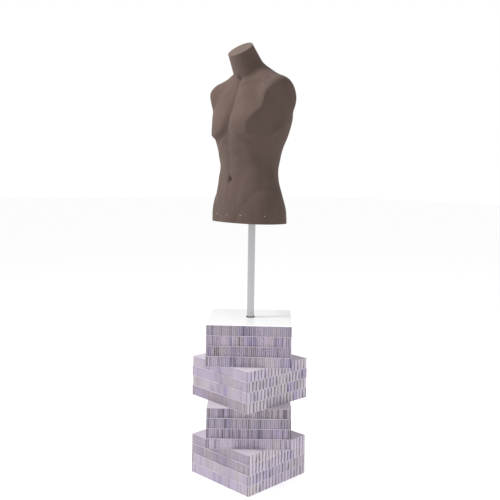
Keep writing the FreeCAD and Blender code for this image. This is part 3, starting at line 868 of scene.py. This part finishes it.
@dataclass
class Torso:
    """The torso's skin, drawn from stations up the trunk and the muscles on them.

    Heights are above the cut rim. A station is its height, half width, depth before and behind the centre,
    the centre's y and the roundness of the section.
    """

    stations: tuple[tuple[float, ...], ...] = (
        (0.000, 0.172, 0.104, 0.109, -0.019, 2.30),
        (0.050, 0.167, 0.104, 0.110, -0.020, 2.30),
        (0.105, 0.151, 0.099, 0.104, -0.021, 2.20),
        (0.160, 0.129, 0.094, 0.097, -0.019, 2.15),
        (0.200, 0.123, 0.094, 0.097, -0.018, 2.15),
        (0.240, 0.129, 0.098, 0.102, -0.017, 2.15),
        (0.277, 0.140, 0.104, 0.105, -0.017, 2.15),
        (0.335, 0.168, 0.108, 0.115, -0.017, 2.20),
        (0.390, 0.190, 0.100, 0.119, -0.017, 2.25),
        (0.430, 0.192, 0.086, 0.116, -0.016, 2.20),
        (0.470, 0.180, 0.076, 0.104, -0.014, 2.10),
        (0.510, 0.150, 0.066, 0.084, -0.010, 2.00),
        (0.545, 0.104, 0.052, 0.054, -0.008, 2.00),
        (0.580, 0.058, 0.040, 0.036, -0.016, 2.00),
        (0.640, 0.022, 0.018, 0.010, -0.062, 2.00),
    )
    deltoid: Point3 = (0.166, -0.020, 0.466)
    deltoid_radii: Point3 = (0.058, 0.064, 0.066)
    deltoid_lean: float = 0.2
    shoulder_line: tuple[Point3, Point3] = ((0.0, 0.002, 0.577), (0.160, -0.012, 0.500))
    shoulder_radii: Point2 = (0.035, 0.034)
    neck_root: Point2 = (-0.012, 0.548)
    neck_end: Point2 = (-0.0675, 0.6417)
    neck_radii: Point2 = (0.056, 0.039)
    neck_oval: float = 0.75
    neck_past: float = 0.4
    neck_tilt: float = math.radians(38.8)
    arm_cut: Point3 = (0.186, -0.072, 0.480)
    arm_cut_turn: float = math.radians(18)
    arm_cut_lean: float = math.radians(6)
    arm_cut_from: float = 0.410
    arm_cut_slope: float = 0.3
    softness: tuple[float, float, float, float] = (0.030, 0.030, 0.009, 0.022)
    bevel: Point3 = (0.191, -0.0575, 0.493)
    bevel_turn: float = math.radians(35)
    bevel_lean: float = math.radians(16.9)
    bevel_from: float = 0.362
    bevel_slope: float = 0.5
    bevel_soft: float = 0.005
    bevel_bend: float = 0.020
    centre_y: float = -0.018
    shoulder_height: float = 0.535
    tilt_from: float = 0.490
    columns: int = 264
    rows: int = 292
    body_share: float = 0.8
    wall: float = 0.004
    inner_rows: int = 30
    cap: float = 0.005
    cap_edge: float = 0.0013
    reach: float = 0.330
    halvings: int = 20

    def station(self, h: Array) -> list[Array]:
        """The trunk's sizes at each height, by a cubic through the stations."""
        table = np.array(self.stations)
        heights = table[:, 0]
        i = np.clip(np.searchsorted(heights, h) - 1, 0, len(heights) - 2)
        span = heights[i + 1] - heights[i]
        t = np.clip((h - heights[i]) / span, 0, 1)
        t2, t3 = t * t, t * t * t
        sizes = []
        for c in range(1, table.shape[1]):
            value, slope = table[:, c], np.gradient(table[:, c], heights)
            sizes.append((2 * t3 - 3 * t2 + 1) * value[i] + (t3 - 2 * t2 + t) * span * slope[i]
                         + (3 * t2 - 2 * t3) * value[i + 1] + (t3 - t2) * span * slope[i + 1])
        return sizes

    def trunk(self, x: Array, y: Array, h: Array) -> Array:
        """Rough distance from the trunk."""
        half, front, back, centre, power = self.station(h)
        depth = np.where(y < centre, front, back)
        norm = (np.abs(x / half) ** power + np.abs((y - centre) / depth) ** power) ** (1 / power)
        return (norm - 1) * np.minimum(half, depth)

    def shoulder(self, x: Array, y: Array, h: Array) -> Array:
        """Rough distance from the round of the shoulder."""
        x, y, h = (p - c for p, c in zip((x, y, h), self.deltoid))
        lean_cos, lean_sin = math.cos(self.deltoid_lean), math.sin(self.deltoid_lean)
        x, h = lean_cos * x + lean_sin * h, lean_cos * h - lean_sin * x
        near = np.sqrt(sum((p / r) ** 2 for p, r in zip((x, y, h), self.deltoid_radii)))
        steep = np.sqrt(sum((p / r ** 2) ** 2 for p, r in zip((x, y, h), self.deltoid_radii)))
        return near * (near - 1) / (steep + 1e-6)

    @staticmethod
    def limb(x: Array, y: Array, h: Array, start: Point3, end: Point3, radii: Point2) -> Array:
        """Rough distance from a round limb that tapers from start to end."""
        run = [b - a for a, b in zip(start, end)]
        off = [p - a for p, a in zip((x, y, h), start)]
        t = np.clip(sum(o * r for o, r in zip(off, run)) / sum(r * r for r in run), 0, 1)
        gap = np.sqrt(sum((o - t * r) ** 2 for o, r in zip(off, run)))
        return gap - (radii[0] + (radii[1] - radii[0]) * t)

    def gap(self, x: Array, y: Array, h: Array) -> Array:
        """Rough distance from the plain figure's surface, negative inside."""
        x = np.abs(x)
        soft_deltoid, soft_line, soft_neck, soft_cut = self.softness
        gap = smooth_min(self.trunk(x, y, h), self.shoulder(x, y, h), soft_deltoid)
        gap = smooth_min(gap, self.limb(x, y, h, *self.shoulder_line, self.shoulder_radii), soft_line)
        past = [e + self.neck_past * (e - r) for r, e in zip(self.neck_root, self.neck_end)]
        neck = self.limb(x * self.neck_oval, y, h, (0.0, *self.neck_root), (0.0, *past), self.neck_radii)
        gap = smooth_min(gap, neck, soft_neck)
        normal = facing(self.arm_cut_turn, self.arm_cut_lean)
        cut = sum(n * (p - q) for n, p, q in zip(normal, (x, y, h), self.arm_cut))
        cut = cut - self.arm_cut_slope * np.maximum(0, self.arm_cut_from - h)
        return -smooth_min(-gap, -cut, soft_cut)

    def relief(self, x: Array, y: Array, h: Array) -> Array:
        """How far the muscles stand out of the plain figure, softened over the skin."""
        x = np.abs(x)
        out = CHEST.height(x, y, h)
        for muscle in MUSCLES:
            out = out + muscle.height(x, y, h)
        for _ in range(2):
            out = 0.5 * out + 0.25 * (np.roll(out, 1, axis=1) + np.roll(out, -1, axis=1))
            out[1:-1] = 0.5 * out[1:-1] + 0.25 * (out[2:] + out[:-2])
        return out

    def planes(self) -> tuple[Array, Array, Array]:
        """Centre y, height and tilt of each row of the skin."""
        t = np.linspace(0, 1, self.rows)[:, None]
        up = np.clip((t - self.body_share) / (1 - self.body_share), 0, 1)
        low = np.clip(t / self.body_share, 0, 1)
        h = low * self.shoulder_height + up * (self.neck_end[1] - self.shoulder_height)
        s = np.clip((h - self.tilt_from) / (self.neck_end[1] - self.tilt_from), 0, 1)
        y = self.centre_y + (self.neck_end[0] - self.centre_y) * up
        return y, h, self.neck_tilt * s * s * (3 - 2 * s)

    def skin(self) -> tuple[Array, Array, Array]:
        """The skin's points.

        Returns:
            The centre of each row, the direction of each point from it, and the distance.
        """
        y0, h0, tilt = self.planes()
        angle = (np.arange(self.columns) / self.columns * 2 * np.pi)[None, :]
        across = np.cos(angle) + 0 * h0
        deep = -np.sin(angle) * np.cos(tilt)
        up = -np.sin(angle) * np.sin(tilt)
        low, high = np.full(across.shape, 0.005), np.full(across.shape, self.reach)
        for _ in range(self.halvings):
            middle = (low + high) / 2
            inside = self.gap(middle * across, y0 + middle * deep, h0 + middle * up) < 0
            low, high = np.where(inside, middle, low), np.where(inside, high, middle)
        radius = low + self.relief(low * across, y0 + low * deep, h0 + low * up)
        centre = np.stack([0 * h0, y0, h0], axis=-1)
        ray = np.stack([across, deep, up], axis=-1)
        return centre, ray, smooth_min(radius, self.bevel_radius(centre, ray), self.bevel_soft)

    def bevel_radius(self, centre: Array, ray: Array) -> Array:
        """Distance along each ray to the flat that runs from the shoulder down beside the chest.

        Args:
            centre: The centre of each row.
            ray: The direction of each point from it.

        Returns:
            That distance, and the reach where a ray doesn't meet the flat.
        """
        flat = np.array(facing(self.bevel_turn, self.bevel_lean))
        mirrored = np.concatenate([np.abs(ray[..., :1]), ray[..., 1:]], axis=-1)
        lower = flat + (0, 0, self.bevel_slope)
        reaches = []
        for normal, level in ((flat, 0.0), (lower, self.bevel_slope * self.bevel_from)):
            offset = flat @ np.array(self.bevel) + level - centre @ normal
            rate = mirrored @ normal
            distance = np.where(rate > 1e-3, offset / np.maximum(rate, 1e-3), self.reach)
            reaches.append(np.clip(distance, 0.0, self.reach))
        return -smooth_min(-reaches[0], -reaches[1], self.bevel_bend)

    def shell(self, rim: float, centre: Array, ray: Array, radius: Array) -> bpy.types.Object:
        """The moulded shell: the skin outside and a plain wall inside it."""
        outer = centre + ray * radius[..., None]
        picked = np.unique(np.linspace(0, self.rows - 1, self.inner_rows).astype(int))
        inner = (centre + ray * (radius - self.wall)[..., None])[picked]
        points = np.concatenate([outer.reshape(-1, 3), inner.reshape(-1, 3)]) + (0, 0, rim)
        n = self.columns
        base = self.rows * n
        faces = []
        for i in range(n):
            j = (i + 1) % n
            faces += [(r * n + i, (r + 1) * n + i, (r + 1) * n + j, r * n + j) for r in range(self.rows - 1)]
            faces += [(base + r * n + i, base + r * n + j, base + (r + 1) * n + j, base + (r + 1) * n + i)
                      for r in range(len(picked) - 1)]
            top, inner_top = (self.rows - 1) * n, base + (len(picked) - 1) * n
            faces += [(i, j, base + j, base + i), (top + j, top + i, inner_top + i, inner_top + j)]
        return closed_mesh("torso_skin", points, faces, 50)

    def neck_cap(self, rim: float, centre: Array, ray: Array, radius: Array) -> bpy.types.Object:
        """The cap on the neck's cut end, with a small round on its upper edge."""
        axis = np.array([0, -math.sin(self.neck_tilt), math.cos(self.neck_tilt)])
        rings = [(0.0, 0.0)]
        rings += [(self.cap - self.cap_edge * (1 - math.sin(a)), self.cap_edge * (1 - math.cos(a)))
                  for a in np.linspace(0, math.pi / 2, 5)]
        rows = [centre[-1] + ray[-1] * (radius[-1] - inset)[:, None] + axis * up for up, inset in rings]
        shares = (0.8, 0.6, 0.4, 0.2)
        rows += [centre[-1] + ray[-1] * (radius[-1] * share)[:, None] + axis * self.cap for share in shares]
        n = self.columns
        points = np.concatenate(rows + [centre[-1] + axis * self.cap, centre[-1]]) + (0, 0, rim)
        tip, root = len(points) - 2, len(points) - 1
        faces = []
        for i in range(n):
            j = (i + 1) % n
            faces += [(r * n + i, (r + 1) * n + i, (r + 1) * n + j, r * n + j) for r in range(len(rows) - 1)]
            faces += [((len(rows) - 1) * n + i, tip, (len(rows) - 1) * n + j), (i, j, root)]
        return closed_mesh("neck_cap_skin", points, faces, 40)

    def build(self) -> None:
        """Makes the shell and the cap."""
        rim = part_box("shell_front")[0].z
        centre, ray, radius = self.skin()
        shell = self.shell(rim, centre, ray, radius)
        shell.data.materials.append(TORSO_FLOCK.material())
        settle(shell, "torso", ["shell_front", "shell_back"])
        cap = self.neck_cap(rim, centre, ray, radius)
        cap.data.materials.append(NECK_FLOCK.material())
        settle(cap, "torso", ["neck_cap"])


# ------------------------------------------------------------------------------------------------ fittings
@dataclass
class Fittings:
    """The pieces whose CAD shape is already right, with their finishes."""

    finishes: tuple[tuple[str, Finish], ...] = (
        ("base_plate", BASE_COAT), ("foot_pads", FOOT_RUBBER), ("foot_bolt", BOLT_STEEL),
        ("pole_foot_plug", TURNED_STEEL), ("pole_tube", POLE_STEEL), ("pole_grommet", GROMMET_RUBBER),
        ("top_plate", TOP_SHEET), ("guide_bush", NYLON), ("clamp_collar", TURNED_STEEL), ("clamp_pad", BRASS),
        ("clamp_screw", BOLT_STEEL), ("clamp_knob", KNOB_PLASTIC), ("rise_tube", TUBE_CHROME),
        ("rise_top_plug", TURNED_STEEL), ("rise_stop_ring", BOLT_STEEL), ("rise_lower_bush", NYLON),
        ("neck_plug", HIP_PLYWOOD), ("hip_board", HIP_PLYWOOD), ("rim_pins", PIN_STEEL),
        ("flange_screws", BOLT_STEEL), ("socket_flange", SOCKET_ENAMEL), ("socket_tube", SOCKET_ENAMEL),
        ("socket_cap", SOCKET_ENAMEL), ("thrust_pad", NYLON), ("socket_bush_lower", NYLON),
        ("socket_bush_upper", NYLON),
    )

    def build(self) -> None:
        """Dresses each piece."""
        for node, finish in self.finishes:
            dress(node, finish)


# ------------------------------------------------------------------------------------------------ studio
@dataclass
class Studio:
    """A pale floor, white surroundings, soft lamps and the camera."""

    azimuth: float = math.radians(50)
    distance: float = 2.756
    eye: float = 1.185
    pitch: float = math.radians(-5.92)
    yaw: float = math.radians(-0.12)
    roll: float = math.radians(0.9)
    focal: float = 51.2
    floor_half: float = 30.0
    surroundings: float = 0.5

    def floor(self) -> None:
        """A wide white floor with a faint mottle."""
        half = self.floor_half
        points = np.array([(-half, -half, 0), (half, -half, 0), (half, half, 0), (-half, half, 0)], float)
        ground = closed_mesh("studio_floor", points, [(0, 1, 2, 3)], 30)
        ground.data.materials.append(FLOOR_PAINT.material())

    def world(self) -> None:
        """White all round, and brighter to the camera than to the object."""
        world = bpy.data.worlds.new("studio_white")
        world.use_nodes = True
        world.node_tree.nodes.clear()
        bench = Bench(world.node_tree)
        seen = bench.add("ShaderNodeLightPath", out="Is Camera Ray")
        strength = seen * (1.0 - self.surroundings) + self.surroundings
        light = bench.add("ShaderNodeBackground", {}, {"Color": (1.0, 1.0, 1.0, 1.0), "Strength": strength})
        bench.add("ShaderNodeOutputWorld", {}, {"Surface": light})
        bpy.context.scene.world = world

    def lamp(self, name: str, turn: float, lift: float, away: float, size: float, power: float,
             at: float) -> None:
        """One soft lamp that points at the pole.

        Args:
            name: The lamp's name.
            turn: Its direction about the pole in degrees, where 0 is before the torso.
            lift: Its height above the point that it lights, in degrees.
            away: Its distance.
            size: The side of its panel.
            power: Its power in watts.
            at: The height of the point that it lights.
        """
        data = bpy.data.lights.new(name, "AREA")
        data.size, data.energy = size, power
        item = bpy.data.objects.new(name, data)
        bpy.context.scene.collection.objects.link(item)
        a, e = math.radians(turn), math.radians(lift)
        way = Vector((math.sin(a) * math.cos(e), -math.cos(a) * math.cos(e), math.sin(e)))
        item.location = Vector((0, 0, at)) + way * away
        item.rotation_euler = way.to_track_quat("Z", "Y").to_euler()

    def camera(self) -> None:
        """The camera, before the torso's left shoulder."""
        data = bpy.data.cameras.new("camera")
        data.lens, data.sensor_width = self.focal, 36.0
        item = bpy.data.objects.new("camera", data)
        bpy.context.scene.collection.objects.link(item)
        away = Vector((math.sin(self.azimuth), -math.cos(self.azimuth), 0))
        item.location = away * self.distance + Vector((0, 0, self.eye))
        aim = self.azimuth - self.yaw
        turn = Matrix.Rotation(aim, 4, "Z") @ Matrix.Rotation(math.pi / 2 + self.pitch, 4, "X")
        item.rotation_euler = (turn @ Matrix.Rotation(self.roll, 4, "Z")).to_euler()
        bpy.context.scene.camera = item

    def build(self) -> None:
        """Sets up everything round the object."""
        self.floor()
        self.world()
        self.lamp("key", -32, 42, 2.2, 0.6, 48, 1.4)
        self.lamp("top", 80, 75, 3.0, 1.6, 16, 1.1)
        self.camera()
        bpy.context.scene.view_settings.view_transform = "Standard"


def main() -> None:
    """Builds the object and its studio."""
    logging.basicConfig(level=logging.INFO, format="%(name)s: %(message)s")
    Studio().build()
    comb = Comb()
    for number, (shades, fins) in enumerate(zip(BOARD_SHADES, BLOCK_FINS), 1):
        HoneycombBlock(number, comb, shades, fins).build()
    Fittings().build()
    Torso().build()


if __name__ == "__main__":
    main()
